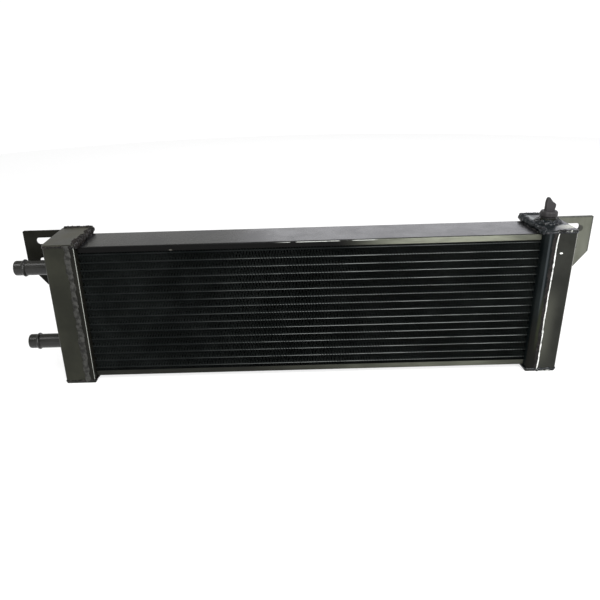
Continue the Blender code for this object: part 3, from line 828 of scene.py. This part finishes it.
def join_lumps(obj, voxel, smooth_steps):
    """Joins all of a mesh's overlapping shells into one smooth skin."""
    remesh = obj.modifiers.new("Join", "REMESH")
    remesh.mode = "VOXEL"
    remesh.voxel_size = voxel
    remesh.use_smooth_shade = True
    soften = obj.modifiers.new("Soften", "SMOOTH")
    soften.factor = 0.5
    soften.iterations = smooth_steps
    bpy.context.view_layer.update()
    graph = bpy.context.evaluated_depsgraph_get()
    mesh = bpy.data.meshes.new_from_object(obj.evaluated_get(graph))
    obj.modifiers.clear()
    old = obj.data
    obj.data = mesh
    bpy.data.meshes.remove(old)
    mesh.shade_smooth()


def add_ball(work, place, radius, flatness):
    made = bmesh.ops.create_icosphere(work, subdivisions=2, radius=radius)["verts"]
    bmesh.ops.scale(work, vec=(1, 1, flatness), verts=made)
    bmesh.ops.translate(work, vec=place, verts=made)


def make_bung_weld():
    """The lumpy weld that holds the bung to the cap, with a few splashes."""
    bung_low, bung_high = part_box("bleed_bung")
    _, cap_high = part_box("tank_cap_top_right")
    centre = Vector(((bung_low.x + bung_high.x) / 2, 0, cap_high.z))
    bung_radius = (bung_high.x - bung_low.x) / 2
    # How far up a ring of lumps is, how many it has, how far out they are and how big (mm)
    layers = ((0.0, 26, 2.2, 3.4), (2.2, 20, 1.0, 2.7), (4.0, 15, 0.2, 1.7))
    splashes = 12
    rng = random.Random(5)
    work = bmesh.new()

    def round_bung(angle, radius, lift):
        return centre + Vector((math.cos(angle) * radius, math.sin(angle) * radius, lift))

    for level, count, reach, size in layers:
        for index in range(count):
            angle = 2 * math.pi * (index + rng.uniform(-0.3, 0.3)) / count
            radius = bung_radius + (reach + rng.uniform(-1.0, 1.0)) * MM
            ball = size * rng.uniform(0.7, 1.15) * MM
            lift = (level + rng.uniform(-0.5, 0.5)) * MM
            add_ball(work, round_bung(angle, radius, lift), ball, rng.uniform(0.7, 1.0))
    for _ in range(splashes):
        angle = rng.uniform(0, 2 * math.pi)
        radius = bung_radius + rng.uniform(3.6, 6.5) * MM
        add_ball(work, round_bung(angle, radius, 0), rng.uniform(0.9, 2.0) * MM, 0.6)
    obj = link("bung_weld", mesh_from(work, "bung_weld"))
    join_lumps(obj, 0.45 * MM, 3)
    finish_piece(obj, "cooler", WELD_NAVY)


def add_collar(work):
    """A round collar with shallow finger lobes. Its profile is in shares of its radius and its height."""
    profile = [(0.01, 0.4), (0.90, 0.0), (0.985, 0.08), (1.0, 0.2), (1.0, 0.72), (0.96, 0.9), (0.88, 1.0),
               (0.01, 1.0)]
    around = 96
    lobes = 11
    lobe_depth = 0.045
    rings = []
    for share, level in profile:
        depth = lobe_depth if share > 0.95 else 0.3 * lobe_depth
        ring = []
        for step in range(around):
            angle = 2 * math.pi * step / around
            lobe = 1 - depth * (0.5 - 0.5 * math.cos(lobes * angle))
            reach = share * KEY_COLLAR_RADIUS * lobe
            place = (reach * math.cos(angle), reach * math.sin(angle), level * KEY_COLLAR_HEIGHT)
            ring.append(work.verts.new(place))
        rings.append(ring)
    join_rings(work, rings)


def add_wing(work):
    """A flat wing with one tall ear, thinner towards its tip. Its outline is in mm above the collar's top."""
    outline = [(-6.2, -2.0), (6.2, -2.0), (7.0, 2.0), (7.9, 5.2), (7.6, 7.6), (5.6, 9.3), (2.4, 11.4),
               (-0.6, 14.6), (-3.0, 17.2), (-4.6, 16.9), (-6.2, 14.8), (-6.7, 10.0), (-6.5, 4.0)]
    tip = 17.2
    tip_thinning = 0.25
    half_thickness = 2.3 * MM
    turn = Matrix.Rotation(KEY_TURN, 3, "Z")
    faces = []
    for y in (-half_thickness, half_thickness):
        loop = []
        for x, z in outline:
            taper = 1.0 - tip_thinning * max(0.0, z / tip)
            place = Vector((x * MM, y * taper, z * MM + KEY_COLLAR_HEIGHT))
            loop.append(work.verts.new(turn @ place))
        faces.append(loop)
    join_rings(work, faces)


def add_shank(work):
    """The shank tapers a little towards its lower end, and its upper end is inside the collar."""
    length = 13.5 * MM
    inside_collar = 0.5 * MM
    shank = bmesh.ops.create_cone(work, cap_ends=True, segments=40, radius1=4.2 * MM, radius2=4.6 * MM,
                                  depth=length)["verts"]
    bmesh.ops.translate(work, vec=(0, 0, inside_collar - length / 2), verts=shank)


def make_bleed_key():
    """The plastic thumb screw: a lobed collar, a wing with one tall ear, and its shank in the bung."""
    _, seal_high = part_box("bleed_seal")
    seat = Vector((middle("bleed_bung").x, 0, seal_high.z + KEY_CLEARANCE))
    work = bmesh.new()
    add_collar(work)
    add_wing(work)
    add_shank(work)
    bmesh.ops.translate(work, vec=seat, verts=work.verts)
    obj = link("bleed_thumb_screw", mesh_from(work, "bleed_thumb_screw"))
    join_lumps(obj, 0.33 * MM, 4)
    finish_piece(obj, "bleed_key", PLASTIC, ["bleed_key"])


# ---------------------------------------------------------------- studio


def make_camera():
    data = bpy.data.cameras.new("camera")
    data.sensor_width = CAMERA_SENSOR
    data.lens = CAMERA_LENS
    data.shift_x, data.shift_y = CAMERA_SHIFT
    data.clip_start = 0.01
    data.clip_end = 100
    camera = link("camera", data)
    camera.location = CAMERA_PLACE
    camera.rotation_euler = Euler([math.radians(angle) for angle in CAMERA_TURN], "XYZ")
    bpy.context.scene.camera = camera


def soft_light(name, place, target, size, power, shade=(1, 1, 1)):
    data = bpy.data.lights.new(name, "AREA")
    data.shape = "RECTANGLE"
    data.size, data.size_y = size
    data.energy = power
    data.color = shade
    light = link(name, data)
    light.location = place
    light.rotation_euler = (Vector(target) - Vector(place)).to_track_quat("-Z", "Y").to_euler()
    light.visible_camera = False


def make_world():
    """White at the horizon and below it, and a dimmer sky, warmer on the left and cooler on the right."""
    white = colour(1.06, 1.06, 1.06)
    left_sky = colour(0.50, 0.50, 0.46)
    right_sky = colour(0.66, 0.66, 0.70)
    world = bpy.data.worlds.new("studio")
    bpy.context.scene.world = world
    world.use_nodes = True
    made = Nodes(world.node_tree, "Generated")
    across, _, up = made.axes()
    sky = made.mix(made.ramp(across, -0.5, 0.5), left_sky, right_sky)
    whole = made.mix(made.ramp(up, 0.12, 0.24), white, sky)
    made.put(world.node_tree.nodes["Background"].inputs["Color"], whole)


def make_floor():
    """A round table top, just under the tanks."""
    work = bmesh.new()
    bmesh.ops.create_circle(work, cap_ends=True, segments=96, radius=FLOOR_RADIUS)
    bmesh.ops.translate(work, vec=(0, 0, -FLOOR_DROP), verts=work.verts)
    floor = link("floor", mesh_from(work, "floor"))
    floor.data.materials.append(floor_material())


def make_studio():
    make_floor()
    make_world()
    soft_light("window", place=(0.40, -1.50, 1.05), target=(0.25, 0.0, 0.25), size=(1.4, 1.5), power=40)
    soft_light("strip", place=(0.32, -0.36, 1.10), target=(0.28, 0.0, 0.1), size=(0.95, 0.12), power=5.0)
    soft_light("stub_strip", place=(-0.78, -0.36, 1.05), target=(-0.36, 0.0, 0.1), size=(0.5, 0.12),
               power=2.2)
    soft_light("back_panel", place=(0.62, 2.0, 1.05), target=(0.1, 0, 0.15), size=(1.7, 0.9), power=6.0,
               shade=(0.95, 0.95, 1.0))
    scene = bpy.context.scene
    scene.view_settings.view_transform = "Standard"
    scene.view_settings.look = "None"


make_camera()
make_studio()
dress_cad_nodes()
make_fins()
make_seam_welds()
make_cap_welds()
make_core_welds()
make_stub_welds()
make_bracket_welds()
make_bung_weld()
make_bleed_key()

bpy.context.view_layer.update()
